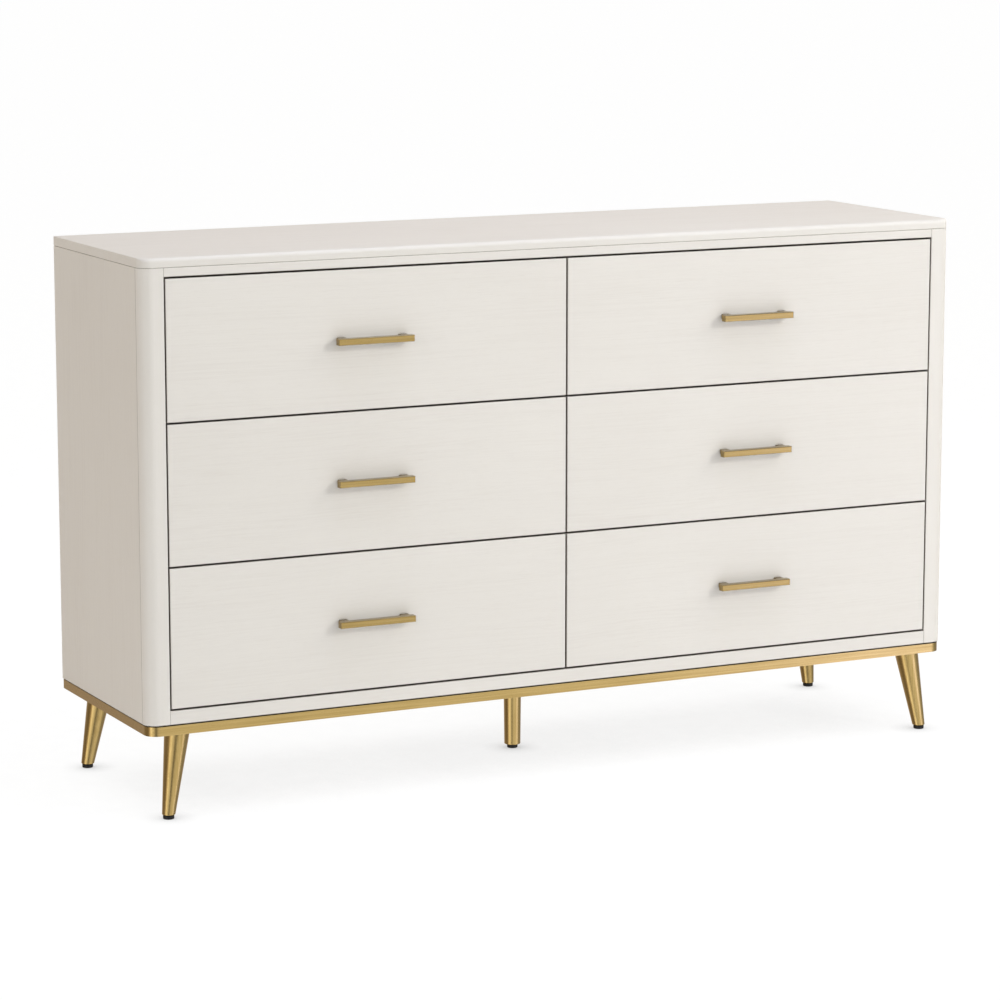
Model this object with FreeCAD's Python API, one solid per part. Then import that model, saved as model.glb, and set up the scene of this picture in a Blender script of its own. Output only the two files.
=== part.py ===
# Six-drawer dresser: a wooden case on a gilt steel base with splayed legs.
# The case is 1420 mm wide, 385 mm deep and stands 858 mm high. Every wooden panel, rail, leg,
# foot, pull and slide member is a solid of its own, written to its own file.
# Axes: +X to the right as seen from the front, -Y out of the front, +Z up, floor at Z = 0.
import FreeCAD, Part
import math
import os

from FreeCAD import Vector

# ---- driving dimensions, in millimetres ----

CASE_W = 1420.0             # outer width
CASE_D = 385.0              # outer depth, drawer fronts to the rear edge of the sides

# levels, from the floor up
LEG_TOP_Z = 132.0           # underside of the steel base
BASE_H = 14.5               # visible height of the steel base
REVEAL = 1.5                # shadow gap between the base and the case
RAIL_BOTTOM_H = 21.5        # front rail under the drawers
ROW_PITCH = 219.0           # drawer to drawer, centre to centre
ROWS = 3
RAIL_TOP_H = 13.5           # front rail over the drawers
TOP_T = 15.0                # top panel

# front frame
POST_W = 37.0               # front posts, seen from the front
POST_D = 22.0               # depth of the posts and rails
CORNER_R = 20.0             # rounded front corners of posts and top
REAR_CORNER_R = 3.0
TOP_NOSE_R = 7.0            # rounded front edge of the top
TOP_SIDE_R = 1.2            # its eased short edges
EDGE_R = 1.2                # eased edges of the case

# panels
SIDE_T = 18.0
PARTITION_T = 16.0
BOTTOM_T = 12.0
BACK_T = 5.0
BACK_INSET = 3.0            # back panel set in from the rear edges of the sides
BACK_SCREW_HEAD_R = 3.5
BACK_SCREW_HEAD_H = 1.2
BACK_SCREW_R = 1.6
BACK_SCREW_L = 20.0
BACK_SCREW_ROWS = 7

# steel base: an open channel, folded up into a ring, with a channel across the middle
BASE_SIDE_INSET = 1.5       # base set in from the sides of the case
BASE_CHANNEL_W = 44.0
BASE_CHANNEL_T = 2.0
BASE_CROSS_W = 60.0
BASE_CORNER_R = 20.0

# legs and levelling feet
LEG_END_Z = 6.6             # lower end of the legs
LEG_TOP_R = 19.5
LEG_END_R = 10.2
LEG_TOP_INSET_X = 56.0      # leg centre at its top, in from the side of the case
LEG_TOP_INSET_Y = 24.0      # and in from the front or rear
LEG_END_INSET_X = 36.0      # leg centre at its lower end
LEG_END_INSET_Y = 12.0
CENTRE_LEG_TOP_R = 14.7
CENTRE_LEG_END_R = 13.3
LEG_END_EASE = 1.2
STUD_R = 4.0                # stud that bolts a leg to the base
STUD_L = 12.0
STUD_CLEARANCE = 0.3
FOOT_R = 8.7
FOOT_H = 6.2
FOOT_EASE = 1.4
FOOT_STEM_R = 3.0
FOOT_STEM_L = 24.0
FOOT_BORE_CLEARANCE = 0.06
FOOT_BORE_EXTRA = 3.0       # bore goes on above the end of the stem

# drawers
GAP = 3.0                   # between drawer fronts, and above and below them
POST_GAP = 2.5              # between a drawer front and its post
FRONT_T = 18.0
FRONT_EDGE_R = 1.3
BOX_WALL_T = 12.0
BOX_H = 165.0
BOX_D = 350.0
BOX_LIFT = 20.0             # box's lower edge above the drawer front's
BOX_BOTTOM_T = 5.0
BOX_BOTTOM_Z = 10.0         # groove above the box's lower edge
GROOVE_DEPTH = 6.0
WALL_EASE = 1.5

# drawer slides: three nested channels on each side of a box
SLIDE_SPACE = 12.7          # between the box and the case
SLIDE_SHEET = 1.2
SLIDE_L = 348.0
SLIDE_FRONT_Y = 24.0        # cabinet members start behind the posts
CABINET_MEMBER_H = 45.0
MIDDLE_MEMBER_H = 35.0
DRAWER_MEMBER_H = 25.0
CABINET_FLANGE = 9.5
MIDDLE_WEB_X = 5.2
MIDDLE_FLANGE = (3.0, 9.5)
DRAWER_FLANGE = 5.3
BATTEN_H = 60.0

# drawer pulls
PULL_L = 126.0
PULL_H = 10.0
PULL_BAR_D = 12.0           # depth of the bar, front to back
PULL_REACH = 22.0           # front face of the bar, out from the drawer front
PULL_EASE = 1.0
PULL_LUG_W = 13.0
PULL_LUG_INSET = 5.0        # lugs set in from the ends of the bar
PULL_LUG_H = 7.6

# ---- levels and places worked out from them ----

BASE_TOP_Z = LEG_TOP_Z + BASE_H
CASE_BOTTOM_Z = BASE_TOP_Z + REVEAL
OPENING_Z0 = CASE_BOTTOM_Z + RAIL_BOTTOM_H
OPENING_Z1 = OPENING_Z0 + ROWS * ROW_PITCH + GAP
CASE_TOP_Z = OPENING_Z1 + RAIL_TOP_H
TOTAL_H = CASE_TOP_Z + TOP_T
FRONT_H = ROW_PITCH - GAP
FRONT_W = CASE_W / 2 - POST_W - POST_GAP - GAP / 2
HALF_W = CASE_W / 2

# The object reaches from the front of the pulls to the rear edges of the sides, and the
# origin is under the middle of that.
FRONT_Y = (PULL_REACH - CASE_D) / 2
REAR_Y = FRONT_Y + CASE_D
BACK_Y = REAR_Y - BACK_INSET - BACK_T
INNER_Y = FRONT_Y + POST_D

LEFT = -1
RIGHT = 1
SIDES = (("left", LEFT), ("right", RIGHT))


# ---- small helpers ----

def box(x0, x1, y0, y1, z0, z1):
    """A block between two corners, given in any order along X."""
    low_x = min(x0, x1)
    return Part.makeBox(abs(x1 - x0), y1 - y0, z1 - z0, Vector(low_x, y0, z0))


def save(name, shape):
    """Writes one node, after a check that every solid in it is sound."""
    for solid in shape.Solids:
        if not solid.isValid() or solid.Volume <= 0:
            raise ValueError("bad solid in " + name)
    shape.exportStep("parts/" + name + ".step")


def group(shapes):
    return Part.makeCompound(shapes)


def one(shape):
    """The only solid of a boolean result."""
    if len(shape.Solids) != 1:
        raise ValueError("expected one solid, found " + str(len(shape.Solids)))
    return shape.Solids[0]


def mirrored(shape):
    return shape.mirror(Vector(0, 0, 0), Vector(1, 0, 0))


def ease(shape, radius, wanted):
    """Rounds the straight or curved edges for which wanted(edge) is true."""
    edges = [edge for edge in shape.Edges if wanted(edge)]
    return one(shape.makeFillet(radius, edges))


def all_at(edge, axis, value):
    """True if both ends and the middle of an edge lie on one plane square to an axis."""
    first, last = edge.ParameterRange
    points = [edge.valueAt(first), edge.valueAt((first + last) / 2), edge.valueAt(last)]
    return all(abs(getattr(point, axis) - value) < 1e-4 for point in points)


def rounded_outline(half_w, y0, y1, front_r, rear_r):
    """Plan outline with rounded corners, as a closed wire at Z = 0."""
    front_mid = front_r * (1 - math.sqrt(0.5))
    rear_mid = rear_r * (1 - math.sqrt(0.5))
    front_left = (Vector(-half_w, y0 + front_r, 0), Vector(-half_w + front_mid, y0 + front_mid, 0),
                  Vector(-half_w + front_r, y0, 0))
    front_right = (Vector(half_w - front_r, y0, 0), Vector(half_w - front_mid, y0 + front_mid, 0),
                   Vector(half_w, y0 + front_r, 0))
    rear_right = (Vector(half_w, y1 - rear_r, 0), Vector(half_w - rear_mid, y1 - rear_mid, 0),
                  Vector(half_w - rear_r, y1, 0))
    rear_left = (Vector(-half_w + rear_r, y1, 0), Vector(-half_w + rear_mid, y1 - rear_mid, 0),
                 Vector(-half_w, y1 - rear_r, 0))
    corners = (front_left, front_right, rear_right, rear_left)
    edges = []
    for index, corner in enumerate(corners):
        following = corners[(index + 1) % len(corners)]
        edges.append(Part.Arc(*corner).toShape())
        edges.append(Part.LineSegment(corner[-1], following[0]).toShape())
    return Part.Wire(edges)


def slab(wire, z0, z1):
    """A plate of the wire's outline, between two heights."""
    face = Part.Face(wire)
    face.translate(Vector(0, 0, z0))
    return face.extrude(Vector(0, 0, z1 - z0))


# ---- case ----

def top_panel():
    """Top with rounded front corners and a rounded front edge that runs out into them."""
    plate = slab(rounded_outline(HALF_W, FRONT_Y, REAR_Y, CORNER_R, REAR_CORNER_R), CASE_TOP_Z, TOTAL_H)
    nose_mid = TOP_NOSE_R * (1 - math.sqrt(0.5))
    start = Vector(-CASE_W, FRONT_Y, CASE_TOP_Z)
    nose = (Vector(-CASE_W, FRONT_Y, TOTAL_H - TOP_NOSE_R),
            Vector(-CASE_W, FRONT_Y + nose_mid, TOTAL_H - nose_mid),
            Vector(-CASE_W, FRONT_Y + TOP_NOSE_R, TOTAL_H))
    rear_top = Vector(-CASE_W, REAR_Y, TOTAL_H)
    rear_low = Vector(-CASE_W, REAR_Y, CASE_TOP_Z)
    profile = Part.Wire([
        Part.LineSegment(start, nose[0]).toShape(),
        Part.Arc(*nose).toShape(),
        Part.LineSegment(nose[2], rear_top).toShape(),
        Part.LineSegment(rear_top, rear_low).toShape(),
        Part.LineSegment(rear_low, start).toShape(),
    ])
    run = Part.Face(profile).extrude(Vector(2 * CASE_W, 0, 0))
    block = box(-HALF_W, HALF_W, FRONT_Y, REAR_Y, CASE_TOP_Z, TOTAL_H)
    block = ease(block, TOP_SIDE_R, is_top_side_rim)
    return ease(one(plate.common(run).common(block)), EDGE_R, lambda edge: all_at(edge, "z", CASE_TOP_Z))


def is_top_side_rim(edge):
    """True for the upper edges of the top's two short sides."""
    return all_at(edge, "z", TOTAL_H) and (all_at(edge, "x", -HALF_W) or all_at(edge, "x", HALF_W))


def side_panel():
    """Left side panel, from behind the front post to the rear."""
    panel = box(-HALF_W, -HALF_W + SIDE_T, INNER_Y, REAR_Y, CASE_BOTTOM_Z, CASE_TOP_Z)
    panel = ease(panel, REAR_CORNER_R, lambda edge: all_at(edge, "x", -HALF_W) and all_at(edge, "y", REAR_Y))
    round_start = REAR_Y - REAR_CORNER_R
    return ease(panel, EDGE_R, lambda edge: all_at(edge, "x", -HALF_W) and not all_at(edge, "y", round_start))


def front_post():
    """Left front post with its rounded outer corner, eased along both seams."""
    post = box(-HALF_W, -HALF_W + POST_W, FRONT_Y, INNER_Y, CASE_BOTTOM_Z, CASE_TOP_Z)
    post = ease(post, CORNER_R, lambda edge: all_at(edge, "x", -HALF_W) and all_at(edge, "y", FRONT_Y))
    post = ease(post, EDGE_R, is_post_seam)
    return ease(post, EDGE_R, is_post_end)


def is_inner_post_face(edge):
    return all_at(edge, "x", -HALF_W + POST_W) or all_at(edge, "y", INNER_Y)


def is_post_seam(edge):
    """True for a post's upright edges beside the drawers and beside the side panel."""
    by_drawers = all_at(edge, "x", -HALF_W + POST_W) and all_at(edge, "y", FRONT_Y)
    by_side = all_at(edge, "x", -HALF_W) and all_at(edge, "y", INNER_Y)
    return by_drawers or by_side


def is_post_end(edge):
    """True for the rims of a post's ends on its outer faces."""
    at_end = all_at(edge, "z", CASE_TOP_Z) or all_at(edge, "z", CASE_BOTTOM_Z)
    return at_end and not is_inner_post_face(edge)


def front_rail(z0, z1):
    """Rail between the two posts."""
    reach = HALF_W - POST_W
    rail = box(-reach, reach, FRONT_Y, INNER_Y, z0, z1)
    return ease(rail, EDGE_R, lambda edge: all_at(edge, "y", FRONT_Y))


def screw_places():
    """Centres of the back panel's screws, as X and Z."""
    reach = HALF_W - SIDE_T / 2
    span = CASE_TOP_Z - CASE_BOTTOM_Z - 2 * SIDE_T
    places = []
    for row in range(BACK_SCREW_ROWS):
        z = CASE_BOTTOM_Z + SIDE_T + span * row / (BACK_SCREW_ROWS - 1)
        for x in (-reach, 0.0, reach):
            places.append((x, z))
    return places


def back_screw_holes():
    start = BACK_Y + BACK_T - BACK_SCREW_L
    return [Part.makeCylinder(BACK_SCREW_R, BACK_SCREW_L, Vector(x, start, z), Vector(0, 1, 0))
            for x, z in screw_places()]


def back_panel():
    """Thin back, lapped over a rebate in the rear edges of the side panels."""
    reach = HALF_W - SIDE_T / 4
    panel = box(-reach, reach, BACK_Y, BACK_Y + BACK_T, CASE_BOTTOM_Z, CASE_TOP_Z)
    return one(panel.cut(group(back_screw_holes())))


def rebated(shape):
    """Cuts the back panel's rebate and screw holes from a panel."""
    reach = HALF_W - SIDE_T / 4
    room = box(-reach, reach, BACK_Y, REAR_Y + 1, CASE_BOTTOM_Z - 1, CASE_TOP_Z + 1)
    return one(shape.cut(room).cut(group(back_screw_holes())))


def back_panel_screws():
    """Pan-head screws that hold the back panel to the sides and the partition."""
    screws = []
    for x, z in screw_places():
        face_y = BACK_Y + BACK_T
        shank = Part.makeCylinder(BACK_SCREW_R, BACK_SCREW_L, Vector(x, face_y - BACK_SCREW_L, z), Vector(0, 1, 0))
        head = Part.makeCylinder(BACK_SCREW_HEAD_R, BACK_SCREW_HEAD_H, Vector(x, face_y, z), Vector(0, 1, 0))
        screws.append(one(shank.fuse(head).removeSplitter()))
    return group(screws)


def centre_partition():
    half = PARTITION_T / 2
    return box(-half, half, INNER_Y, BACK_Y, CASE_BOTTOM_Z + BOTTOM_T, CASE_TOP_Z)


def bottom_panel():
    reach = HALF_W - SIDE_T
    return box(-reach, reach, INNER_Y, BACK_Y, CASE_BOTTOM_Z, CASE_BOTTOM_Z + BOTTOM_T)


# ---- base, legs and feet ----

def leg_places():
    """Name, top centre and lower-end centre of each corner leg, as X and Y."""
    places = []
    for depth, edge_y, inward in (("front", FRONT_Y, 1), ("rear", REAR_Y, -1)):
        for side, sign in SIDES:
            top = (sign * (HALF_W - LEG_TOP_INSET_X), edge_y + inward * LEG_TOP_INSET_Y)
            end = (sign * (HALF_W - LEG_END_INSET_X), edge_y + inward * LEG_END_INSET_Y)
            places.append((depth + "_" + side, top, end))
    return places


def centre_place():
    return (0.0, (FRONT_Y + REAR_Y) / 2)


def base_frame():
    """Folded steel channel, open at the top, with a low outer and a taller inner wall."""
    half_w = HALF_W - BASE_SIDE_INSET
    y0, y1 = FRONT_Y, REAR_Y
    outer = rounded_outline(half_w, y0, y1, BASE_CORNER_R, REAR_CORNER_R)
    trough = rounded_outline(half_w - BASE_CHANNEL_T, y0 + BASE_CHANNEL_T, y1 - BASE_CHANNEL_T,
                             BASE_CORNER_R - BASE_CHANNEL_T, REAR_CORNER_R - BASE_CHANNEL_T)
    ring = slab(outer, LEG_TOP_Z, BASE_TOP_Z).cut(slab(trough, LEG_TOP_Z + BASE_CHANNEL_T, CASE_BOTTOM_Z))
    wall_x = half_w - BASE_CHANNEL_W
    wall_y0, wall_y1 = y0 + BASE_CHANNEL_W, y1 - BASE_CHANNEL_W
    half_cross = BASE_CROSS_W / 2
    for side, sign in SIDES:
        wall = box(sign * (half_cross - BASE_CHANNEL_T), sign * (wall_x + BASE_CHANNEL_T),
                   wall_y0 - BASE_CHANNEL_T, wall_y1 + BASE_CHANNEL_T, LEG_TOP_Z, CASE_BOTTOM_Z)
        well = box(sign * half_cross, sign * wall_x, wall_y0, wall_y1, LEG_TOP_Z - 1, CASE_BOTTOM_Z + 1)
        ring = ring.fuse(wall).cut(well)
    stud_room = [Part.makeCylinder(STUD_R + STUD_CLEARANCE, BASE_CHANNEL_T + 2, Vector(x, y, LEG_TOP_Z - 1))
                 for x, y in [top for name, top, end in leg_places()] + [centre_place()]]
    return one(ring.cut(group(stud_room)).removeSplitter())


def leg(top, end, top_r, end_r):
    """A tapered round leg with level ends, its stud on top and the foot's bore below."""
    low = Vector(end[0], end[1], LEG_END_Z)
    high = Vector(top[0], top[1], LEG_TOP_Z)
    run = high - low
    axis = Vector(run)
    axis.normalize()
    spare = 2 * top_r * math.tan(axis.getAngle(Vector(0, 0, 1))) + 1.0
    taper = (top_r - end_r) / run.Length
    cone = Part.makeCone(end_r - taper * spare, top_r + taper * spare, run.Length + 2 * spare,
                         low - axis * spare, axis)
    reach = 4 * top_r
    low_x, high_x = sorted((top[0], end[0]))
    low_y, high_y = sorted((top[1], end[1]))
    level = box(low_x - reach, high_x + reach, low_y - reach, high_y + reach, LEG_END_Z, LEG_TOP_Z)
    body = one(cone.common(level))
    body = ease(body, LEG_END_EASE, lambda edge: all_at(edge, "z", LEG_END_Z))
    stud = Part.makeCylinder(STUD_R, STUD_L + 1, Vector(top[0], top[1], LEG_TOP_Z - 1))
    bore = Part.makeCylinder(FOOT_STEM_R + FOOT_BORE_CLEARANCE, FOOT_STEM_L + FOOT_BORE_EXTRA + 1,
                             Vector(end[0], end[1], LEG_END_Z - 1))
    return one(body.fuse(stud).cut(bore).removeSplitter())


def levelling_foot(end):
    """A pad with eased rims on a threaded stem, which runs up into the leg."""
    pad = Part.makeCylinder(FOOT_R, FOOT_H, Vector(end[0], end[1], 0))
    pad = ease(pad, FOOT_EASE, lambda edge: all_at(edge, "z", 0) or all_at(edge, "z", FOOT_H))
    stem = Part.makeCylinder(FOOT_STEM_R, FOOT_STEM_L + 1, Vector(end[0], end[1], FOOT_H - 1))
    return one(pad.fuse(stem).removeSplitter())


# ---- drawers and slides ----

def drawer_places():
    """Name, side and lower edge of the front of every drawer, from the top left."""
    places = []
    for row, row_name in enumerate(("top", "middle", "bottom")):
        front_z = OPENING_Z0 + GAP + (ROWS - 1 - row) * ROW_PITCH
        for side, sign in SIDES:
            places.append((row_name + "_" + side, sign, front_z))
    return places


def front_centre_x(sign):
    return sign * (GAP / 2 + FRONT_W / 2)


def box_span():
    """Inner and outer distance of a drawer box's sides from the middle of the case."""
    return PARTITION_T / 2 + SLIDE_SPACE, HALF_W - POST_W - SLIDE_SPACE


def drawer_front(sign, front_z):
    x = front_centre_x(sign)
    panel = box(x - FRONT_W / 2, x + FRONT_W / 2, FRONT_Y, FRONT_Y + FRONT_T, front_z, front_z + FRONT_H)
    return ease(panel, FRONT_EDGE_R, lambda edge: all_at(edge, "y", FRONT_Y))


def box_bottom_room(sign, front_z, depth):
    """The box's bottom board, reaching a given depth into the walls."""
    near, far = box_span()
    z = front_z + BOX_LIFT + BOX_BOTTOM_Z
    y0 = FRONT_Y + FRONT_T
    return box(sign * (near + BOX_WALL_T - depth), sign * (far - BOX_WALL_T + depth),
               y0 + BOX_WALL_T - depth, y0 + BOX_D - BOX_WALL_T + depth, z, z + BOX_BOTTOM_T)


def drawer_box(sign, front_z):
    """The four walls of a drawer box, grooved for the bottom board."""
    near, far = box_span()
    y0 = FRONT_Y + FRONT_T
    y1 = y0 + BOX_D
    z0 = front_z + BOX_LIFT
    z1 = z0 + BOX_H
    blocks = [
        box(sign * near, sign * (near + BOX_WALL_T), y0, y1, z0, z1),
        box(sign * (far - BOX_WALL_T), sign * far, y0, y1, z0, z1),
        box(sign * (near + BOX_WALL_T), sign * (far - BOX_WALL_T), y0, y0 + BOX_WALL_T, z0, z1),
        box(sign * (near + BOX_WALL_T), sign * (far - BOX_WALL_T), y1 - BOX_WALL_T, y1, z0, z1),
    ]
    groove = box_bottom_room(sign, front_z, GROOVE_DEPTH)
    walls = []
    for block in blocks:
        eased = ease(block, WALL_EASE, lambda edge: all_at(edge, "z", z1) and edge.Length > BOX_WALL_T + 1)
        walls.append(one(eased.cut(groove)))
    return group(walls)


def slide_height(front_z):
    return front_z + BOX_LIFT + BOX_H / 2


def channel(x0, direction, height, web, flange, y0, length, z):
    """A channel along Y: a web at web[0]..web[1] and two flanges, measured from the face x0."""
    half = height / 2
    solid = box(x0 + direction * web[0], x0 + direction * web[1], y0, y0 + length, z - half, z + half)
    for low in (z - half, z + half - SLIDE_SHEET):
        solid = solid.fuse(box(x0 + direction * flange[0], x0 + direction * flange[1],
                               y0, y0 + length, low, low + SLIDE_SHEET))
    return one(solid.removeSplitter())


def slide_faces(sign):
    """Where the slides screw to the case, and the way from there to the drawer box."""
    return ((sign * PARTITION_T / 2, sign), (sign * (HALF_W - POST_W), -sign))


def cabinet_members(sign, front_z):
    start = FRONT_Y + SLIDE_FRONT_Y
    return [channel(face, way, CABINET_MEMBER_H, (0, SLIDE_SHEET), (0, CABINET_FLANGE),
                    start, SLIDE_L, slide_height(front_z)) for face, way in slide_faces(sign)]


def middle_members(sign, front_z):
    start = FRONT_Y + SLIDE_FRONT_Y
    web = (MIDDLE_WEB_X, MIDDLE_WEB_X + SLIDE_SHEET)
    return group([channel(face, way, MIDDLE_MEMBER_H, web, MIDDLE_FLANGE, start, SLIDE_L,
                          slide_height(front_z)) for face, way in slide_faces(sign)])


def drawer_members(sign, front_z):
    start = FRONT_Y + SLIDE_FRONT_Y
    web = (SLIDE_SPACE - SLIDE_SHEET, SLIDE_SPACE)
    flange = (SLIDE_SPACE - DRAWER_FLANGE, SLIDE_SPACE)
    length = FRONT_Y + FRONT_T + BOX_D - start
    return group([channel(face, way, DRAWER_MEMBER_H, web, flange, start, length,
                          slide_height(front_z)) for face, way in slide_faces(sign)])


def slide_battens():
    """Wooden battens that bring the outer slides in line with the posts."""
    battens = []
    for name, sign, front_z in drawer_places():
        z = slide_height(front_z)
        battens.append(box(sign * (HALF_W - SIDE_T), sign * (HALF_W - POST_W), INNER_Y, BACK_Y,
                           z - BATTEN_H / 2, z + BATTEN_H / 2))
    return group(battens)


def pull(sign, front_z):
    """A square bar pull: the bar, and a lug behind each end that is flush with its top."""
    x = front_centre_x(sign)
    top_z = front_z + FRONT_H / 2 + PULL_H / 2
    bar_y = FRONT_Y - PULL_REACH
    lug_y = bar_y + PULL_BAR_D
    bar = box(x - PULL_L / 2, x + PULL_L / 2, bar_y, lug_y, top_z - PULL_H, top_z)
    bar = ease(bar, PULL_EASE, lambda edge: all_at(edge, "y", bar_y))
    lug_reach = PULL_L / 2 - PULL_LUG_INSET
    lugs = [box(x0, x0 + PULL_LUG_W, lug_y, FRONT_Y, top_z - PULL_LUG_H, top_z)
            for x0 in (x - lug_reach, x + lug_reach - PULL_LUG_W)]
    return group([bar] + lugs)


def build():
    os.makedirs("parts", exist_ok=True)
    save("top_panel", top_panel())
    save("side_panel_left", rebated(side_panel()))
    save("side_panel_right", rebated(mirrored(side_panel())))
    save("front_post_left", front_post())
    save("front_post_right", mirrored(front_post()))
    save("front_rail_top", front_rail(OPENING_Z1, CASE_TOP_Z))
    save("front_rail_bottom", front_rail(CASE_BOTTOM_Z, OPENING_Z0))
    save("centre_partition", one(centre_partition().cut(group(back_screw_holes()))))
    save("bottom_panel", bottom_panel())
    save("back_panel", back_panel())
    save("back_panel_screws", back_panel_screws())
    save("slide_battens", slide_battens())
    save("base_frame", base_frame())
    for name, top, end in leg_places():
        save("leg_" + name, leg(top, end, LEG_TOP_R, LEG_END_R))
        save("foot_" + name, levelling_foot(end))
    save("leg_centre", leg(centre_place(), centre_place(), CENTRE_LEG_TOP_R, CENTRE_LEG_END_R))
    save("foot_centre", levelling_foot(centre_place()))
    fixed_members = []
    for name, sign, front_z in drawer_places():
        fixed_members += cabinet_members(sign, front_z)
        save("drawer_front_" + name, drawer_front(sign, front_z))
        save("drawer_box_" + name, drawer_box(sign, front_z))
        save("drawer_bottom_" + name, box_bottom_room(sign, front_z, GROOVE_DEPTH))
        save("drawer_pull_" + name, pull(sign, front_z))
        save("slide_inner_" + name, drawer_members(sign, front_z))
        save("slide_middle_" + name, middle_members(sign, front_z))
    save("slide_outer_members", group(fixed_members))


build()
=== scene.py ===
"""Looks of a six-drawer dresser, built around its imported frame. Metres, and degrees for angles."""

import math

import bpy
from mathutils import Matrix, Vector


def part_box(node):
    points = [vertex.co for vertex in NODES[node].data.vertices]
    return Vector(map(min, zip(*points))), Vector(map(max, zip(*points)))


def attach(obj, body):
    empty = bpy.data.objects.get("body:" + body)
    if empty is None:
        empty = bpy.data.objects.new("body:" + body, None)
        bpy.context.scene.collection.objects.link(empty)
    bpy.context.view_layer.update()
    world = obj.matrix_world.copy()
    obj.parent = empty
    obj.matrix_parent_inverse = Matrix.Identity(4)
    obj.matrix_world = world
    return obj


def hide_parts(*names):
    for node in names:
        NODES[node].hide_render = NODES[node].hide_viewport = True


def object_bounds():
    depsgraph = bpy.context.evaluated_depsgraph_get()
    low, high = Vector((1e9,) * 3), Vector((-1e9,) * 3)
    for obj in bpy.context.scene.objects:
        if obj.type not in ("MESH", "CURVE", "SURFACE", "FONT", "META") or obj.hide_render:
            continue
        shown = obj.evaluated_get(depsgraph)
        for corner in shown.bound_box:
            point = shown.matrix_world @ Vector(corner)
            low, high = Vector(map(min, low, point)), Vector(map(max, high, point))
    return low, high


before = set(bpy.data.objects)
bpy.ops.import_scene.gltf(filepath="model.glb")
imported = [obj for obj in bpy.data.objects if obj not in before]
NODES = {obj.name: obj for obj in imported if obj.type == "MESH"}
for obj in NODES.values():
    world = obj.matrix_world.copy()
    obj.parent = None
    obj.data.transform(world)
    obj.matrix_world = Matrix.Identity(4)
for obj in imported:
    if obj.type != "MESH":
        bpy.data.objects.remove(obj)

CAD_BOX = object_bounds()
ROWS = ("top", "middle", "bottom")
SIDES = ("left", "right")
DRAWERS = [f"{row}_{side}" for row in ROWS for side in SIDES]

# Camera: left of the front and a little above the top.
VIEW_AZIMUTH = -26.2
VIEW_ELEVATION = 9.8
VIEW_DISTANCE = 5.93
VIEW_LENS = 131.6  # mm
SENSOR_W = 36.0  # mm
VIEW_AIM = Vector((-0.028, 0.0, -0.012))  # from the middle of the dresser

# Colours, linear RGB.
PAINT = (0.835, 0.800, 0.742)
PAINT_GRAIN = (0.725, 0.680, 0.622)
PAINT_WORN = (0.640, 0.560, 0.460)
PAINT_SEAM_SHADE = (0.120, 0.088, 0.062)  # painted shade in the seams and in the gaps round the drawers
BRASS = (0.455, 0.331, 0.142)
BRASS_DEEP = (0.300, 0.205, 0.070)
# Painted shade on brass, in seams, over the reveal and behind the pulls.
BRASS_SEAM_SHADE = (0.050, 0.034, 0.014)
BRASS_BARE = (0.600, 0.480, 0.260)
BIRCH = (0.760, 0.610, 0.415)
BIRCH_GRAIN = (0.600, 0.430, 0.250)
PLY = (0.790, 0.665, 0.480)
PLY_GRAIN = (0.660, 0.510, 0.330)
FIBREBOARD = (0.640, 0.560, 0.455)
FIBREBOARD_FLECK = (0.450, 0.355, 0.255)
ZINC = (0.640, 0.650, 0.655)
ZINC_DULL = (0.470, 0.480, 0.490)
RUBBER = (0.006, 0.006, 0.006)
RUBBER_DUST = (0.024, 0.023, 0.022)

EDGE_TURN = (0.995, 0.86)  # agreement of flat and rounded normals where wear starts and is full
SEAM_OPEN = (0.66, 0.14)   # how open a place is where the painted shade of seams starts and is full
POST_GRAIN_SHARE = 0.5     # the posts show less grain than the panels
PAINT_WEAR_R = 0.0012      # how far the wear reaches from an edge
PAINT_SEAM_REACH = 0.008   # surfaces nearer to each other than this get painted shade
JOINT_HALF_W = 0.0008      # painted shade line along the joint of a side panel and its post
HEM_HALF_W = 0.0015        # painted shadow line at the lower edge of the case, over the reveal
SHADE_LINE_DARKNESS = 0.65
BRASS_WEAR_R = 0.0008
BRASS_SEAM_REACH = 0.006
PULL_SEAM_REACH = 0.022    # painted shade reaches as far as the drawer front behind a pull
PULL_SHADE = 0.86          # painted shade: the pulls get a darker copy of the brass of the base and legs

BOX_WALL_T = 0.012         # walls of the drawer boxes
WALL_MARGIN = 0.0005       # keeps the inner face of a side wall with the wall

AXES = {"x": 0, "y": 1, "z": 2}


# ---------------------------------------------------------------- materials


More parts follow.
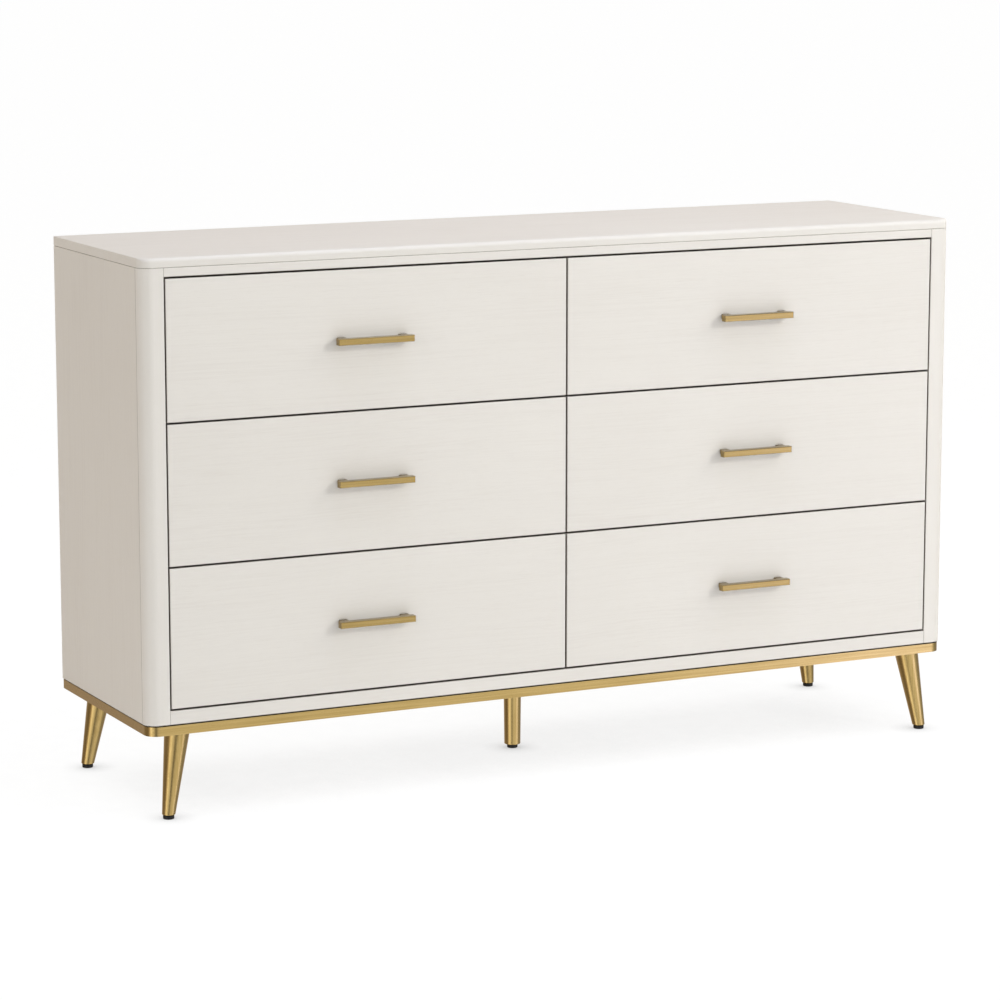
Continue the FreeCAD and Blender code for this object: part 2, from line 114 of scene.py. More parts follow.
class Nodes:
    """A material's node tree. Most calls add nodes and return the socket with their result."""

    def __init__(self, name):
        self.material = bpy.data.materials.new(name)
        self.material.use_nodes = True
        self.tree = self.material.node_tree
        self.tree.nodes.clear()

    @classmethod
    def around(cls, tree):
        """The same calls for a tree that already exists, such as the world's."""
        nodes = cls.__new__(cls)
        nodes.tree = tree
        tree.nodes.clear()
        return nodes

    def show(self, surface, kind="Material"):
        """Makes a shader's socket the tree's result."""
        output = self.tree.nodes.new("ShaderNodeOutput" + kind)
        self.tree.links.new(surface, output.inputs["Surface"])

    def feed(self, socket, value):
        """Links a socket to another one, or sets its value."""
        if isinstance(value, bpy.types.NodeSocket):
            self.tree.links.new(value, socket)
        else:
            socket.default_value = value

    def add(self, kind, inputs, out=0, **settings):
        """A new node with these inputs and settings, and its output socket."""
        node = self.tree.nodes.new("ShaderNode" + kind)
        for key, value in settings.items():
            setattr(node, key, value)
        for key, value in inputs.items():
            self.feed(node.inputs[key], value)
        return node.outputs[out]

    def maths(self, operation, a, b=0.0):
        return self.add("Math", {0: a, 1: b}, operation=operation)

    def vector(self, operation, a, b):
        return self.add("VectorMath", {0: a, 1: b}, operation=operation)

    def noise(self, place, scale, detail=2.0, roughness=0.5, out="Fac"):
        inputs = {"Vector": place, "Scale": scale, "Detail": detail, "Roughness": roughness}
        return self.add("TexNoise", inputs, out)

    def remap(self, value, low, high, to_low=0.0, to_high=1.0):
        """The value carried from one range to another, and held at its ends."""
        inputs = {"Value": value, "From Min": low, "From Max": high, "To Min": to_low, "To Max": to_high}
        return self.add("MapRange", inputs, clamp=True)

    def mix(self, share, a, b):
        """Colour a turning to colour b as share goes from 0 to 1. Each is a tuple or a socket."""
        first, second = ((*colour, 1) if isinstance(colour, tuple) else colour for colour in (a, b))
        return self.add("Mix", {0: share, 6: first, 7: second}, 2, data_type="RGBA")

    def place(self, seed):
        """Position on the piece, shifted by seed so that no two boards share their grain."""
        shift = (seed * 1.37, seed * 2.71, seed * 0.83)
        return self.vector("ADD", self.add("TexCoord", {}, "Object"), shift)

    def stretched(self, place, axis, along, across):
        """The place scaled so that noise on it runs in lines along one axis."""
        scale = [across] * 3
        scale[AXES[axis]] = along
        return self.vector("MULTIPLY", place, scale)

    def edges(self, radius):
        """1 on sharp edges, 0 on flat faces."""
        rounded = self.add("Bevel", {"Radius": radius}, samples=4)
        flat = self.add("NewGeometry", {}, "Normal")
        turn = self.add("VectorMath", {0: rounded, 1: flat}, "Value", operation="DOT_PRODUCT")
        return self.remap(turn, *EDGE_TURN)

    def seam_shade(self, reach):
        """Mask of painted shade: 0 in the open, rising to 1 inside seams and the gaps round the drawers.
        """
        open_share = self.add("AmbientOcclusion", {"Distance": reach}, "AO", samples=4)
        return self.remap(open_share, *SEAM_OPEN)

    def finish(self, colour, roughness, bump, depth, **constants):
        """Ends the tree in a shader. The constants go to its sockets of those names."""
        shader = self.tree.nodes.new("ShaderNodeBsdfPrincipled")
        self.feed(shader.inputs["Base Color"], colour)
        self.feed(shader.inputs["Roughness"], roughness)
        relief = self.add("Bump", {"Height": bump, "Distance": depth, "Strength": 1.0})
        self.feed(shader.inputs["Normal"], relief)
        for key, value in constants.items():
            shader.inputs[key.replace("_", " ")].default_value = value
        self.show(shader.outputs[0])
        return self.material


def painted_wood(name, grain, seed, shade_lines=(), grain_share=1.0):
    """Cream paint in a satin finish, thin enough for the grain under it to show.

    Each dark line is painted shade: an axis, a position on it and half the line's width."""
    n = Nodes(name)
    place = n.place(seed)
    sway = n.noise(place, 1.6, 1.0, out="Color")
    bent = n.vector("ADD", place, n.vector("MULTIPLY", sway, (0.035, 0.035, 0.035)))
    figure = n.noise(n.stretched(bent, grain, 1.6, 24.0), 1.0, 3.0)
    streaks = n.noise(n.stretched(bent, grain, 5.0, 330.0), 1.0, 3.0, 0.6)
    pores = n.noise(n.stretched(bent, grain, 38.0, 1500.0), 1.0, 1.0)
    pores = n.remap(pores, 0.58, 0.72)
    strong = n.remap(figure, 0.35, 0.7, 0.25, 1.0)
    lines = n.maths("MULTIPLY", n.remap(streaks, 0.42, 0.75), strong)
    tone = n.remap(n.noise(place, 3.1, 2.0), 0.3, 0.7, 0.0, 0.16)
    grey = n.maths("ADD", n.maths("MULTIPLY", lines, 0.34), n.maths("MULTIPLY", pores, 0.22))
    grey = n.maths("ADD", grey, tone)
    colour = n.mix(n.maths("MULTIPLY", grey, grain_share), PAINT, PAINT_GRAIN)
    # Painted shade: a thin dark line along each joint and over the reveal.
    for axis, position, half_width in shade_lines:
        spot = n.add("SeparateXYZ", {0: n.add("TexCoord", {}, "Object")}, axis)
        away = n.maths("ABSOLUTE", n.maths("SUBTRACT", spot, position))
        darkness = n.remap(away, half_width, 0.4 * half_width, 0.0, SHADE_LINE_DARKNESS)
        colour = n.mix(darkness, colour, PAINT_SEAM_SHADE)
    chafed = n.remap(n.noise(place, 60.0, 3.0), 0.45, 0.75, 0.02, 0.16)
    colour = n.mix(n.maths("MULTIPLY", n.edges(PAINT_WEAR_R), chafed), colour, PAINT_WORN)
    # Painted shade: darker in seams and in the gaps round the drawers.
    seam_shade = n.seam_shade(PAINT_SEAM_REACH)
    colour = n.mix(seam_shade, colour, PAINT_SEAM_SHADE)
    roughness = n.maths("MAXIMUM", n.remap(lines, 0.0, 1.0, 0.40, 0.52), seam_shade)
    relief = n.maths("ADD", n.maths("MULTIPLY", pores, -0.6), n.maths("MULTIPLY", lines, -0.4))
    return n.finish(colour, roughness, relief, 0.00006, Specular_IOR_Level=0.42)


def brushed_brass(name, axis, seed, shade=1.0, reach=BRASS_SEAM_REACH):
    """Satin brass, brushed along one axis and lacquered. A lower shade darkens it all over, as painted
    shade.
    """
    tones = (BRASS, BRASS_DEEP, BRASS_BARE)
    bright, deep, bare = (tuple(shade * part for part in tone) for tone in tones)
    n = Nodes(name)
    place = n.place(seed)
    brushed = n.noise(n.stretched(place, axis, 14.0, 2200.0), 1.0, 2.0, 0.6)
    coarse = n.noise(n.stretched(place, axis, 5.0, 420.0), 1.0, 2.0)
    cloud = n.noise(place, 9.0, 2.0)
    share = n.maths("ADD", n.remap(brushed, 0.3, 0.7, 0.0, 0.35), n.remap(coarse, 0.3, 0.7, 0.0, 0.5))
    share = n.maths("ADD", share, n.remap(cloud, 0.3, 0.7, 0.0, 0.2))
    colour = n.mix(share, bright, deep)
    colour = n.mix(n.maths("MULTIPLY", n.edges(BRASS_WEAR_R), 0.5), colour, bare)
    roughness = n.remap(brushed, 0.3, 0.7, 0.16, 0.28)
    # Painted shade: darker in seams, over the reveal and behind the pulls.
    seam_shade = n.seam_shade(reach)
    colour = n.mix(seam_shade, colour, BRASS_SEAM_SHADE)
    roughness = n.maths("MAXIMUM", roughness, seam_shade)
    return n.finish(colour, roughness, brushed, 0.00003, Metallic=1.0)


def turned_at_sides(n, place, node):
    """Turns the grain in the side walls of a drawer box, so that it runs from front to back there."""
    low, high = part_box(node)
    across = n.add("SeparateXYZ", {0: n.add("TexCoord", {}, "Object")}, "X")
    from_middle = n.maths("ABSOLUTE", n.maths("SUBTRACT", across, (low.x + high.x) / 2))
    at_side = n.maths("GREATER_THAN", from_middle, (high.x - low.x) / 2 - BOX_WALL_T - WALL_MARGIN)
    parts = n.tree.nodes.new("ShaderNodeSeparateXYZ")
    n.feed(parts.inputs[0], place)
    turned = n.add("CombineXYZ", {0: parts.outputs["Y"], 1: parts.outputs["X"], 2: parts.outputs["Z"]})
    everywhere = n.add("CombineXYZ", {0: at_side, 1: at_side, 2: at_side})
    shift = n.vector("MULTIPLY", n.vector("SUBTRACT", turned, place), everywhere)
    return n.vector("ADD", place, shift)


def bare_wood(name, grain, seed, light, dark, roughness=0.55, box=None):
    """Unpainted, thinly lacquered boards. If box names a drawer box, the grain of its sides is turned."""
    n = Nodes(name)
    place = n.place(seed)
    if box is not None:
        place = turned_at_sides(n, place, box)
    sway = n.noise(place, 2.2, 2.0, out="Color")
    bent = n.vector("ADD", place, n.vector("MULTIPLY", sway, (0.06, 0.06, 0.06)))
    rings = n.noise(n.stretched(bent, grain, 1.5, 42.0), 1.0, 3.0)
    fibres = n.noise(n.stretched(bent, grain, 9.0, 520.0), 1.0, 3.0, 0.65)
    fleck = n.remap(n.noise(n.stretched(bent, grain, 45.0, 900.0), 1.0, 1.0), 0.62, 0.74)
    share = n.maths("ADD", n.remap(rings, 0.32, 0.7, 0.0, 0.55), n.remap(fibres, 0.35, 0.7, 0.0, 0.4))
    share = n.maths("ADD", share, n.maths("MULTIPLY", fleck, 0.3))
    colour = n.mix(share, light, dark)
    rough = n.remap(fibres, 0.3, 0.7, roughness - 0.05, roughness + 0.08)
    return n.finish(colour, rough, fibres, 0.00008, Specular_IOR_Level=0.35)


def fibreboard(name, seed):
    """The back: thin pressed board, smooth side out, with short fibres in it."""
    n = Nodes(name)
    place = n.place(seed)
    fibres = n.noise(n.vector("MULTIPLY", place, (260.0, 260.0, 900.0)), 1.0, 3.0, 0.7)
    blotch = n.noise(place, 14.0, 3.0)
    share = n.maths("ADD", n.remap(fibres, 0.4, 0.75, 0.0, 0.5), n.remap(blotch, 0.3, 0.7, 0.0, 0.3))
    colour = n.mix(share, FIBREBOARD, FIBREBOARD_FLECK)
    roughness = n.remap(blotch, 0.3, 0.7, 0.55, 0.68)
    return n.finish(colour, roughness, fibres, 0.00008, Specular_IOR_Level=0.3)


def zinc_plate(name, seed):
    """Zinc-plated steel of slides and screws."""
    n = Nodes(name)
    place = n.place(seed)
    cells = n.add("TexVoronoi", {"Vector": place, "Scale": 260.0}, "Color")
    spangle = n.add("SeparateColor", {0: cells})
    smear = n.noise(n.stretched(place, "y", 10.0, 300.0), 1.0, 2.0)
    share = n.maths("ADD", n.maths("MULTIPLY", spangle, 0.25), n.remap(smear, 0.3, 0.7, 0.0, 0.5))
    colour = n.mix(share, ZINC, ZINC_DULL)
    roughness = n.remap(smear, 0.3, 0.7, 0.28, 0.42)
    return n.finish(colour, roughness, smear, 0.00002, Metallic=1.0)


def black_plastic(name, seed):
    """Moulded black pads with a fine satin texture and a trace of dust."""
    n = Nodes(name)
    place = n.place(seed)
    fine = n.noise(place, 1400.0, 2.0)
    dust = n.remap(n.noise(place, 90.0, 3.0), 0.45, 0.8, 0.0, 0.5)
    colour = n.mix(dust, RUBBER, RUBBER_DUST)
    roughness = n.remap(fine, 0.3, 0.7, 0.40, 0.58)
    return n.finish(colour, roughness, fine, 0.00005, Specular_IOR_Level=0.25)


def dress(node, material):
    """Gives a CAD node its material."""
    for slot in NODES[node].material_slots:
        slot.material = material


def dress_case():
    """Materials of everything that doesn't move with a drawer."""
    # Thin lines of painted shade: along the joint of each side panel and its post, and over the reveal.
    joint_shade = ("Y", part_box("front_post_left")[1].y, JOINT_HALF_W)
    reveal_shade = ("Z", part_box("front_rail_bottom")[0].z, HEM_HALF_W)
    lines = (joint_shade, reveal_shade)
    for seed, side in enumerate(SIDES):
        dress("side_panel_" + side, painted_wood("paint_side_" + side, "z", seed + 1, lines))
        post_paint = painted_wood("paint_post_" + side, "z", seed + 3, lines, POST_GRAIN_SHARE)
        dress("front_post_" + side, post_paint)
    dress("centre_partition", painted_wood("paint_partition", "z", 5))
    dress("front_rail_top", painted_wood("paint_rail_top", "x", 11))
    dress("front_rail_bottom", painted_wood("paint_rail_bottom", "x", 12, (reveal_shade,)))
    dress("bottom_panel", bare_wood("bottom_board", "x", 3, PLY, PLY_GRAIN))
    dress("slide_battens", bare_wood("battens", "y", 5, BIRCH, BIRCH_GRAIN))
    dress("back_panel", fibreboard("back_board", 7))
    dress("base_frame", brushed_brass("brass_base", "x", 2))
    legs = [node for node in sorted(NODES) if node.startswith("leg_")]
    for seed, leg in enumerate(legs):
        dress(leg, brushed_brass("brass_" + leg, "z", seed + 3))
    zinc = zinc_plate("zinc", 1)
    dress("back_panel_screws", zinc)
    dress("slide_outer_members", zinc)
    rubber = black_plastic("black_plastic", 1)
    for node in NODES:
        if node.startswith("foot_"):
            dress(node, rubber)


def dress_drawers():
    """Materials of the drawers and their slides. Every board has a grain of its own."""
    zinc = zinc_plate("zinc_slides", 2)
    for seed, name in enumerate(DRAWERS):
        dress("drawer_front_" + name, painted_wood("paint_front_" + name, "x", seed + 21))
        box = "drawer_box_" + name
        dress(box, bare_wood("box_" + name, "x", seed + 31, BIRCH, BIRCH_GRAIN, box=box))
        dress("drawer_bottom_" + name, bare_wood("board_" + name, "x", seed + 41, PLY, PLY_GRAIN))
        brass = brushed_brass("brass_pull_" + name, "x", seed + 51, PULL_SHADE, PULL_SEAM_REACH)
        dress("drawer_pull_" + name, brass)
        dress("slide_inner_" + name, zinc)
        dress("slide_middle_" + name, zinc)


# ---------------------------------------------------------------- finer pieces

TOP_CORNER_R = 0.020       # rounded front corners of the top, in plan
TOP_REAR_CORNER_R = 0.003
TOP_NOSE_R = 0.007         # rounding of its front edge, which runs out into the sides
TOP_SIDE_R = 0.0012
SEAM_EASE = 0.0017         # eased lower edge, over the seam with the case
PULL_SCREW_R = 0.0042
PULL_SCREW_H = 0.0024
PULL_SCREW_IN = 0.0115     # in from the ends of the pull, and down from its top
PULL_SCREW_DOWN = 0.0038
SLIDE_SCREW_R = 0.0034
SLIDE_SCREW_H = 0.0015
SLIDE_SCREWS = (0.030, 0.094, 0.190, 0.318)  # from the front end of a slide's drawer member
SLIDE_WEB_IN = 0.0012      # from the outer sides of the pair in to the webs the screws stand on
BALL_R = 0.0018
BALL_UP = 0.0144           # rows of balls above and below the middle of the slide
BALL_IN = 0.0032           # from the outer sides of the pair
BALL_START = 0.012         # from the front end of the drawer members
BALL_PITCH = 0.0085
BALLS = 12
CAGE_HALF_W = 0.0014
CAGE_HALF_T = 0.0004
SUPPORT = 0.0004           # width of the flat strips that keep the shading of flat faces flat


def mesh_piece(name, points, faces, material, smooth=True):
    """A new object at the origin, with its points in the dresser's frame."""
    mesh = bpy.data.meshes.new(name)
    mesh.from_pydata(points, [], faces)
    mesh.validate()
    mesh.polygons.foreach_set("use_smooth", [smooth] * len(mesh.polygons))
    mesh.materials.append(material)
    piece = bpy.data.objects.new(name, mesh)
    bpy.context.scene.collection.objects.link(piece)
    return piece


def arc(centre, radius, start, steps):
    """A quarter circle, counter-clockwise from start degrees: points with their outward directions."""
    result = []
    for step in range(steps + 1):
        angle = math.radians(start + 90 * step / steps)
        outward = Vector((math.cos(angle), math.sin(angle)))
        result.append((Vector(centre) + outward * radius, outward))
    return result


def top_outline(low, high):
    """The top's outline in plan, counter-clockwise from the front left corner."""
    front, rear = TOP_CORNER_R, TOP_REAR_CORNER_R
    return (arc((low.x + front, low.y + front), front, 180, 24)
            + arc((high.x - front, low.y + front), front, 270, 24)
            + arc((high.x - rear, high.y - rear), rear, 0, 8)
            + arc((low.x + rear, high.y - rear), rear, 90, 8))


def top_rounding(outward):
    """Radius of the upper edge: full along the front, running out smoothly round the corners."""
    front = min(max(-outward.y, 0.0), 1.0)
    share = front * front * (3 - 2 * front)
    return TOP_SIDE_R + (TOP_NOSE_R - TOP_SIDE_R) * share


def quarter(steps):
    """Angles from 0 to a right angle, in radians."""
    return [math.radians(90 * step / steps) for step in range(steps + 1)]


def top_profile(radius, low, high):
    """Inset and height of each ring, from the underside up to the upper face."""
    ease = SEAM_EASE
    rings = [(ease + SUPPORT, low)]
    rings += [(ease * (1 - math.sin(a)), low + ease * (1 - math.cos(a))) for a in quarter(4)]
    rings += [(0.0, low + ease + SUPPORT), (0.0, high - radius - SUPPORT)]
    rings += [(radius * (1 - math.cos(a)), high - radius * (1 - math.sin(a))) for a in quarter(10)]
    rings += [(radius + SUPPORT, high)]
    return rings


def skin(rings):
    """Side faces between closed rings of as many points each, and a face on each end."""
    count = len(rings[0])
    faces = [tuple(reversed(range(count)))]
    for lower in range(len(rings) - 1):
        for place in range(count):
            following = (place + 1) % count
            a, b = lower * count + place, lower * count + following
            faces.append((a, b, b + count, a + count))
    last = (len(rings) - 1) * count
    faces.append(tuple(range(last, last + count)))
    return [point for ring in rings for point in ring], faces


def ring_points(radius, height, steps):
    """A level ring of points about the Z axis."""
    angles = [math.tau * step / steps for step in range(steps)]
    return [Vector((radius * math.cos(angle), radius * math.sin(angle), height)) for angle in angles]


def pan_head(radius, height, steps=64):
    """Domed screw head with a cross recess, standing on the XY plane and facing +Z."""
    # Rings of the dome, as shares of its radius.
    shares = [0.0, 0.10, 0.18, 0.26, 0.36, 0.46, 0.55, 0.64, 0.74, 0.84, 0.92, 0.97]
    smallest, drop = 0.02, 0.35
    arm_half_w, arm_reach, recess = 0.13 * radius, 0.62 * radius, 0.55 * height
    points = []
    for share in shares:
        dome = height * (1 - drop * share ** 2)
        for point in ring_points(max(share, smallest) * radius, dome, steps):
            near, far = sorted((abs(point.x), abs(point.y)))
            if near < arm_half_w and far < arm_reach:
                point.z -= recess
            points.append(point)
    side_h = 0.42 * height
    points += ring_points(radius, side_h, steps) + ring_points(radius, 0.0, steps)
    faces = [tuple(range(steps))]
    for ring in range(len(shares) + 1):
        for step in range(steps):
            following = (step + 1) % steps
            a, b = ring * steps + step, ring * steps + following
            faces.append((a, a + steps, b + steps, b))
    return points, faces


def ball(radius, around=16, rings=8):
    """A bearing ball about the origin."""
    points = [Vector((0, 0, -radius))]
    for ring in range(1, rings):
        tilt = math.pi * ring / rings
        points += ring_points(radius * math.sin(tilt), -radius * math.cos(tilt), around)
    points.append(Vector((0, 0, radius)))
    top = len(points) - 1
    faces = []
    for step in range(around):
        following = (step + 1) % around
        faces.append((0, 1 + following, 1 + step))
        faces.append((top, top - around + step, top - around + following))
        for ring in range(rings - 2):
            a, b = 1 + ring * around + step, 1 + ring * around + following
            faces.append((a, b, b + around, a + around))
    return points, faces


def strip(x0, x1, y0, y1, z0, z1):
    """A thin bar between two corners."""
    points = [Vector((x, y, z)) for z in (z0, z1) for y in (y0, y1) for x in (x0, x1)]
    faces = [(0, 2, 3, 1), (4, 5, 7, 6), (0, 1, 5, 4), (2, 6, 7, 3), (0, 4, 6, 2), (1, 3, 7, 5)]
    return points, faces


def gathered(parts):
    """Several (points, faces) joined into one list of points and one of faces."""
    points, faces = [], []
    for some_points, some_faces in parts:
        start = len(points)
        points += some_points
        faces += [tuple(start + corner for corner in face) for face in some_faces]
    return points, faces


def moved(part, place, facing=None):
    """A part carried to a place, with its +Z turned towards facing."""
    points, faces = part
    turn = facing.to_track_quat("Z", "Y").to_matrix() if facing else Matrix.Identity(3)
    return [turn @ point + place for point in points], faces


def make_drawer_screws(name, zinc):
    """Screws of the pull, inside the drawer, and of the two slide members on its sides."""
    box_low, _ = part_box("drawer_box_" + name)
    pull_low, pull_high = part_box("drawer_pull_" + name)
    slide_low, slide_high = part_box("slide_inner_" + name)
    heads = []
    inner_y = box_low.y + BOX_WALL_T
    for x in (pull_low.x + PULL_SCREW_IN, pull_high.x - PULL_SCREW_IN):
        place = Vector((x, inner_y, pull_high.z - PULL_SCREW_DOWN))
        heads.append(moved(pan_head(PULL_SCREW_R, PULL_SCREW_H), place, Vector((0, 1, 0))))
    middle_z = (slide_low.z + slide_high.z) / 2
    for web_x, side in ((slide_low.x + SLIDE_WEB_IN, -1), (slide_high.x - SLIDE_WEB_IN, 1)):
        for along in SLIDE_SCREWS:
            place = Vector((web_x, slide_low.y + along, middle_z))
            heads.append(moved(pan_head(SLIDE_SCREW_R, SLIDE_SCREW_H), place, Vector((side, 0, 0))))
    points, faces = gathered(heads)
    screws = mesh_piece("screws_" + name, points, faces, zinc, smooth=False)
    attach(screws, "drawer_" + name)


def make_slide_balls(name, zinc):
    """Ball cages between the middle and drawer members of both slides."""
    low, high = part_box("slide_inner_" + name)
    middle_z = (low.z + high.z) / 2
    start_y = low.y + BALL_START
    end_y = start_y + (BALLS - 1) * BALL_PITCH
    parts = []
    for x in (low.x + BALL_IN, high.x - BALL_IN):
        for z in (middle_z - BALL_UP, middle_z + BALL_UP):
            for step in range(BALLS):
                parts.append(moved(ball(BALL_R), Vector((x, start_y + step * BALL_PITCH, z))))
            parts.append(strip(x - CAGE_HALF_W, x + CAGE_HALF_W, start_y - BALL_R, end_y + BALL_R,
                               z - CAGE_HALF_T, z + CAGE_HALF_T))
    points, faces = gathered(parts)
    balls = mesh_piece("slide_balls_" + name, points, faces, zinc)
    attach(balls, "slides_" + name)


def make_fittings():
    """Screws and balls of all six drawers."""
    zinc = zinc_plate("zinc_fittings", 3)
    for name in DRAWERS:
        make_drawer_screws(name, zinc)
        make_slide_balls(name, zinc)


def make_top():
    """The top with its soft front edge, in place of the plainer one from the CAD."""
    low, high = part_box("top_panel")
    columns = []
    for point, outward in top_outline(low, high):
        profile = top_profile(top_rounding(outward), low.z, high.z)
        columns.append([(*(point - outward * inset), height) for inset, height in profile])
    rings = [list(ring) for ring in zip(*columns)]
    points, faces = skin(rings)
    top = mesh_piece("top_slab", points, faces, painted_wood("paint_top_slab", "x", 14))
    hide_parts("top_panel")
    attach(top, "case")


# ---------------------------------------------------------------- studio

# Brightness of the studio's walls by azimuth. The upper part lights the dresser. The part below
# the horizon is what the upright brass mirrors: the floor hides it from everything but reflections.
WALLS = {-180: 0.72, -150: 0.54, -122: 0.34, -95: 0.82, -70: 2.30, -46: 1.15, -26: 0.52,
         -8: 0.52, 18: 0.62, 42: 0.68, 73: 0.82, 100: 0.88, 120: 0.86, 150: 0.64, 180: 0.72}
LOW_WALLS = {-180: 0.70, -150: 0.48, -122: 0.34, -97: 0.34, -84: 0.85, -70: 2.55, -58: 1.85,
             -44: 1.50, -26: 0.35, -8: 0.85, 18: 1.30, 42: 1.45, 73: 0.60, 100: 0.50, 120: 0.60,
             150: 0.60, 180: 0.70}
FRONT_TINT = (1.0, 1.0, 0.98)
COOL_TINT = (0.93, 1.0, 1.18)
REAR_TINT = (1.12, 0.94, 0.76)
REAR_FROM = 105            # walls further round than this, on the right, have the warm rear tint
REAR_FROM_LEFT = -75
HORIZON = (-0.06, 0.02)    # heights on the unit sphere between which the two parts blend
WALL_TOP = 35              # elevation where the walls end
WALL_TOP_BLEND = 10
CEILING = 0.24

# A pale card in front of the dresser, brighter towards its right end: brightness by X.
REFLECTOR = {-2.0: 0.28, -1.5: 0.50, -1.1: 1.00, -0.6: 1.30, 0.6: 1.38,
             1.3: 1.42, 1.6: 1.50, 1.9: 2.20, 3.2: 2.50}
REFLECTOR_TINT = (1.0, 1.0, 0.95)
REFLECTOR_BRIGHT_TINT = (1.0, 1.0, 1.25)
REFLECTOR_BRIGHT_FROM = 1.8
REFLECTOR_Y = -2.6
REFLECTOR_LOW = -1.2       # under the floor, which reflections don't show
REFLECTOR_HIGH = 1.1

FLOOR_HALF = 60.0
FLOOR_BOUNCE = 0.89
FLOOR_LIT = 0.08           # share of the light on the floor that shows, over its even white
FLOOR_WHITE = 0.965

# A soft shadow under the dresser and a small one round each foot: how far they reach, how open the
# floor is where they are darkest and where they end, and what they leave of the white.
SHADOW_REACH = 0.22
SHADOW_OPEN = (0.37, 0.55)
SHADOW_WHITE = 0.85
CONTACT_REACH = 0.04
CONTACT_OPEN = (0.55, 0.97)
CONTACT_WHITE = 0.72


def direction(azimuth, elevation):
    """From the dresser towards something. Azimuth 0 is in front of it and 90 to its right."""
    around, up = math.radians(azimuth), math.radians(elevation)
    return Vector((math.sin(around) * math.cos(up), -math.cos(around) * math.cos(up), math.sin(up)))


def middle():
    """The middle of the dresser."""
    return (CAD_BOX[0] + CAD_BOX[1]) / 2


def floor_material():
    """Bounces light as white paper does, and shows as near white with a faint shadow."""
    n = Nodes("floor")
    place = n.add("TexCoord", {}, "Object")
    paper = n.remap(n.noise(place, 30.0, 2.0), 0.3, 0.7, 0.985, 1.0)
    under = n.add("AmbientOcclusion", {"Distance": SHADOW_REACH}, "AO", samples=6)
    by_feet = n.add("AmbientOcclusion", {"Distance": CONTACT_REACH}, "AO", samples=6)
    shadow = n.remap(under, *SHADOW_OPEN, SHADOW_WHITE, 1.0)
    contact = n.remap(by_feet, *CONTACT_OPEN, CONTACT_WHITE, 1.0)
    glow = n.maths("MULTIPLY", shadow, contact)
    glow = n.maths("MULTIPLY", glow, n.maths("MULTIPLY", paper, FLOOR_WHITE))
    lit = n.add("BsdfDiffuse", {"Color": (FLOOR_LIT, FLOOR_LIT, FLOOR_LIT, 1)})
    seen = n.add("AddShader", {0: lit, 1: n.add("Emission", {"Strength": glow})})
    bounce = n.add("BsdfDiffuse", {"Color": (FLOOR_BOUNCE, FLOOR_BOUNCE, FLOOR_BOUNCE, 1)})
    by_eye = n.add("LightPath", {}, "Is Camera Ray")
    n.show(n.add("MixShader", {0: by_eye, 1: bounce, 2: seen}))
    return n.material


def make_floor():
    """A wide pale floor, which reflections don't show."""
    half = FLOOR_HALF
    corners = [(-half, -half, 0), (half, -half, 0), (half, half, 0), (-half, half, 0)]
    floor = mesh_piece("floor", corners, [(0, 1, 2, 3)], floor_material(), smooth=False)
    floor.visible_glossy = False


def brightness(n, place, stops, tint):
    """A colour ramp over a place between its first and last stops, and the strength to show it at."""
    ramp = n.tree.nodes.new("ShaderNodeValToRGB")
    first, last, brightest = min(stops), max(stops), max(stops.values())
    n.feed(ramp.inputs[0], n.remap(place, first, last))
    marks = ramp.color_ramp.elements
    marks.remove(marks[-1])
    for stop, level in sorted(stops.items()):
        mark = marks[0] if stop == first else marks.new((stop - first) / (last - first))
        mark.color = [level / brightest * part for part in tint(stop)] + [1]
    return ramp.outputs[0], brightest


def wall_tint(azimuth):
    """Neutral in front, warm behind."""
    return REAR_TINT if azimuth < REAR_FROM_LEFT or azimuth > REAR_FROM else FRONT_TINT


def make_world():
    """Walls that are brighter left and right of the camera, a dim ceiling and a white backdrop."""
    world = bpy.data.worlds.new("studio")
    bpy.context.scene.world = world
    world.use_nodes = True
    n = Nodes.around(world.node_tree)
    split = n.tree.nodes.new("ShaderNodeSeparateXYZ")
    n.feed(split.inputs[0], n.add("TexCoord", {}, "Generated"))
    turn = n.maths("ARCTAN2", split.outputs["X"], n.maths("MULTIPLY", split.outputs["Y"], -1.0))
    azimuth = n.maths("MULTIPLY", turn, math.degrees(1))
    parts = []
    for levels in (LOW_WALLS, WALLS):
        colour, strength = brightness(n, azimuth, levels, wall_tint)
        parts.append(n.add("Background", {"Color": colour, "Strength": strength}))
    ceiling = n.add("Background", {"Color": (1, 1, 1, 1), "Strength": CEILING})
    above = n.remap(split.outputs["Z"], *HORIZON)
    walls = n.add("MixShader", {0: above, 1: parts[0], 2: parts[1]})
    low = math.sin(math.radians(WALL_TOP - WALL_TOP_BLEND))
    high = math.sin(math.radians(WALL_TOP + WALL_TOP_BLEND))
    room = n.add("MixShader", {0: n.remap(split.outputs["Z"], low, high), 1: walls, 2: ceiling})
    backdrop = n.add("Background", {"Color": (1, 1, 1, 1), "Strength": 1.0})
    by_eye = n.add("LightPath", {}, "Is Camera Ray")
    n.show(n.add("MixShader", {0: by_eye, 1: room, 2: backdrop}), "World")


def reflector_tint(x):
    """Cooler where the card is bright."""
    return REFLECTOR_BRIGHT_TINT if x > REFLECTOR_BRIGHT_FROM else REFLECTOR_TINT


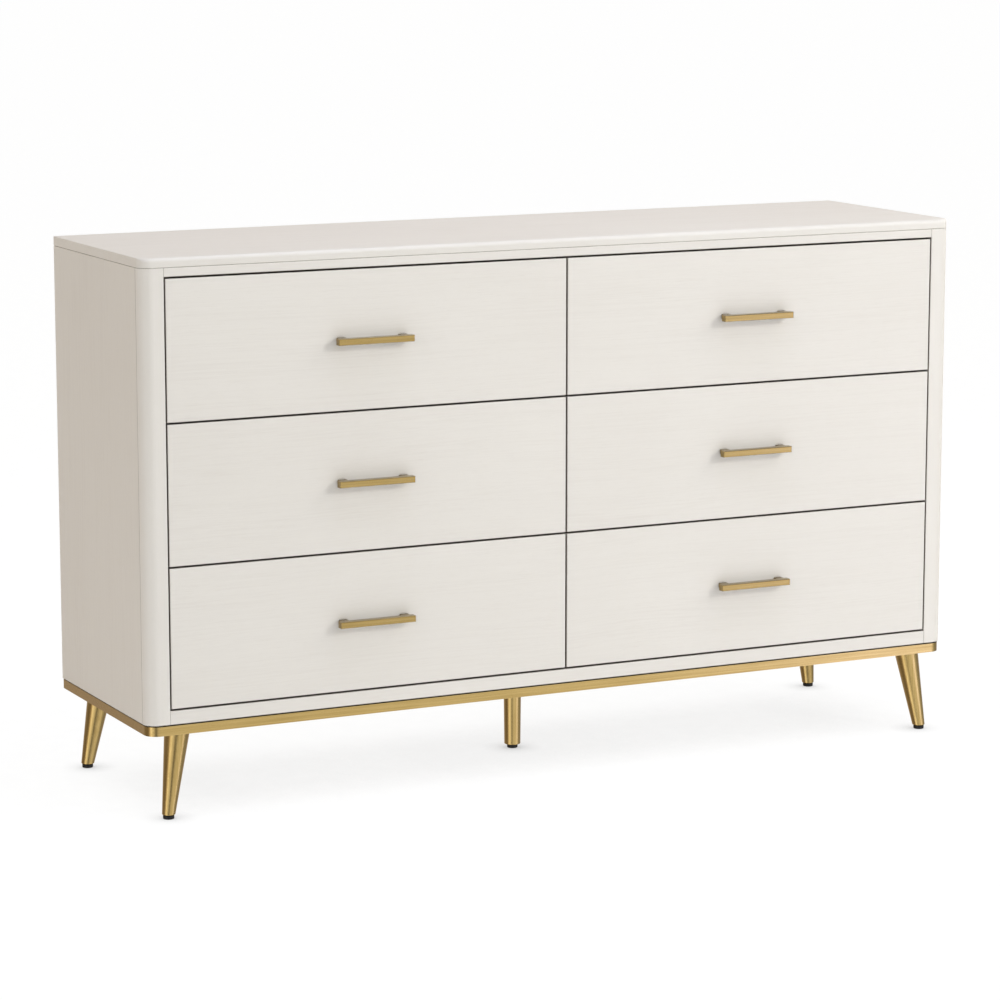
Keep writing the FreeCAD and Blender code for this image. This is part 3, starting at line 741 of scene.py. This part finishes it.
def make_reflector():
    """A card that only reflections show. It gives the brass on the right its brighter sheen."""
    n = Nodes("reflector")
    across = n.add("SeparateXYZ", {0: n.add("TexCoord", {}, "Object")}, "X")
    colour, strength = brightness(n, across, REFLECTOR, reflector_tint)
    n.show(n.add("Emission", {"Color": colour, "Strength": strength}))
    left, right = min(REFLECTOR), max(REFLECTOR)
    corners = [(left, REFLECTOR_Y, REFLECTOR_LOW), (right, REFLECTOR_Y, REFLECTOR_LOW),
               (right, REFLECTOR_Y, REFLECTOR_HIGH), (left, REFLECTOR_Y, REFLECTOR_HIGH)]
    card = mesh_piece("reflector", corners, [(0, 1, 2, 3)], n.material, smooth=False)
    card.visible_camera = False
    card.visible_diffuse = False
    card.visible_transmission = False
    card.visible_volume_scatter = False
    card.visible_shadow = False


def make_light(name, heading, distance, size, power, colour):
    """A soft box that looks at the middle of the dresser. Its heading is its azimuth and elevation."""
    light = bpy.data.lights.new(name, "AREA")
    light.shape = "RECTANGLE"
    light.size, light.size_y = size
    light.energy = power
    light.color = colour
    lamp = bpy.data.objects.new(name, light)
    bpy.context.scene.collection.objects.link(lamp)
    back = direction(*heading)
    lamp.location = middle() + back * distance
    lamp.rotation_euler = back.to_track_quat("Z", "Y").to_euler()
    lamp.visible_glossy = False
    return lamp


def make_lights():
    """Two soft boxes at the front right and one overhead.

    Reflections show only that one: the others would whiten the top when it is seen from behind."""
    make_light("key", (60, 35), distance=4.2, size=(1.6, 1.6), power=33.0, colour=FRONT_TINT)
    make_light("lamp", (34, 24), distance=8.0, size=(1.0, 1.0), power=124.0, colour=FRONT_TINT)
    overhead = make_light("overhead", (10, 80), distance=3.0, size=(2.4, 1.6), power=32.0,
                          colour=COOL_TINT)
    overhead.visible_glossy = True


def make_camera():
    """A long lens from the photograph's side."""
    data = bpy.data.cameras.new("camera")
    data.lens = VIEW_LENS
    data.sensor_width = SENSOR_W
    data.clip_start = 0.1
    data.clip_end = 200.0
    camera = bpy.data.objects.new("camera", data)
    bpy.context.scene.collection.objects.link(camera)
    back = direction(VIEW_AZIMUTH, VIEW_ELEVATION)
    camera.location = middle() + VIEW_AIM + back * VIEW_DISTANCE
    camera.rotation_euler = back.to_track_quat("Z", "Y").to_euler()
    bpy.context.scene.camera = camera


def make_studio():
    """Everything that isn't the dresser."""
    make_floor()
    make_world()
    make_reflector()
    make_lights()
    make_camera()
    bpy.context.scene.view_settings.view_transform = "Standard"


# ---------------------------------------------------------------- build

dress_case()
dress_drawers()
make_top()
make_fittings()
make_studio()
